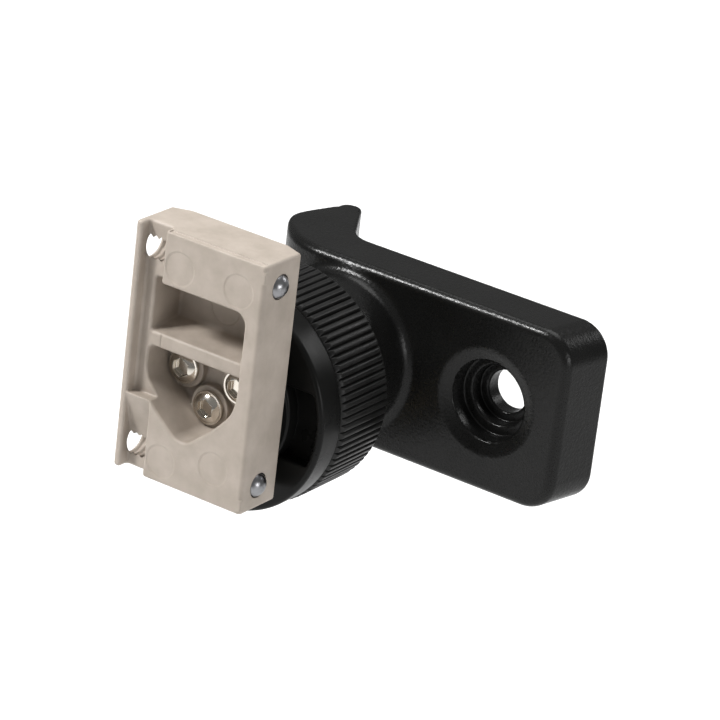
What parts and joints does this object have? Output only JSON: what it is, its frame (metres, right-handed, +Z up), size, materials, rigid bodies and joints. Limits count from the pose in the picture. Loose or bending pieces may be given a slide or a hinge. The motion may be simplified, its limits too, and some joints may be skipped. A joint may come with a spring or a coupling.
{
  "type": "umbrella swivel bracket",
  "caption": "Cast arm with a stepped bolt hole and a hook, carrying a knurled lock ring and a swivelling head with a pocketed slide block and sprung ball detents.",
  "frame": {"origin": "centre of the bolt hole on the arm's flat back face", "axes": "+X along the arm away from the swivel, +Y out of the back face, +Z up along the slide block"},
  "size_m": [0.0929, 0.0953, 0.0711],
  "materials": {
    "arm_black": "fine-textured satin black powder coat on cast aluminium",
    "ring_black": "satin black moulded ribs",
    "disc_black": "semi-gloss black, turned rim",
    "block_beige": "warm grey-beige satin moulding with fine grain",
    "nickel": "nickel plated",
    "chrome_ball": "polished",
    "steel": "turned steel",
    "dark_steel": "blackened steel",
    "spring_steel": "drawn wire",
    "brass": "turned",
    "bronze": "sintered bronze",
    "sleeve_alloy": "turned",
    "friction_fibre": "woven friction fibre",
    "nylon": "natural nylon"
  },
  "bodies": {
    "bracket": {"bracket_casting": "arm_black", "pivot_spindle": "steel", "spindle_nut": "steel", "spindle_washer": "steel", "sleeve_keys": "steel", "pivot_screw": "nickel", "pivot_washer": "nickel", "thrust_washer": "nylon"},
    "lock_ring": {"lock_ring": "ring_black", "ring_liner": "brass"},
    "pressure_sleeve": {"pressure_sleeve": "sleeve_alloy", "friction_washer": "friction_fibre"},
    "swivel_head": {"swivel_disc": "disc_black", "pivot_bush": "bronze", "locating_dowels": "steel", "slide_block": "block_beige", "block_screws": "nickel", "block_washers": "nickel", "set_screw_top": "dark_steel", "set_screw_bottom": "dark_steel", "plunger_spring_top": "spring_steel", "plunger_spring_bottom": "spring_steel"},
    "plunger_top": {"plunger_ball_top": "chrome_ball"},
    "plunger_bottom": {"plunger_ball_bottom": "chrome_ball"}
  },
  "joints": [
    {"name": "ring_turn", "type": "hinge", "parent": "bracket", "child": "lock_ring", "pos_m": [-0.0416, -0.0338, 0], "axis": [0, -1, 0], "range_deg": [0, 144]},
    {"name": "sleeve_push", "type": "slide", "parent": "bracket", "child": "pressure_sleeve", "axis": [0, -1, 0], "range_m": [0, 0.00062]},
    {"name": "head_swivel", "type": "hinge", "parent": "bracket", "child": "swivel_head", "pos_m": [-0.0416, -0.0602, 0], "axis": [0, 1, 0], "continuous": true},
    {"name": "ball_top_press", "type": "slide", "parent": "swivel_head", "child": "plunger_top", "axis": [-1, 0, 0], "range_m": [0, 0.0015], "stiffness_N_per_m": 1500, "springref_m": -0.002, "deforming": ["plunger_spring_top"]},
    {"name": "ball_bottom_press", "type": "slide", "parent": "swivel_head", "child": "plunger_bottom", "axis": [-1, 0, 0], "range_m": [0, 0.0015], "stiffness_N_per_m": 1500, "springref_m": -0.002, "deforming": ["plunger_spring_bottom"]}
  ],
  "couplings": [
    {"joint": "sleeve_push", "follows": "ring_turn", "m_per_rad": 0.00023873}
  ]
}
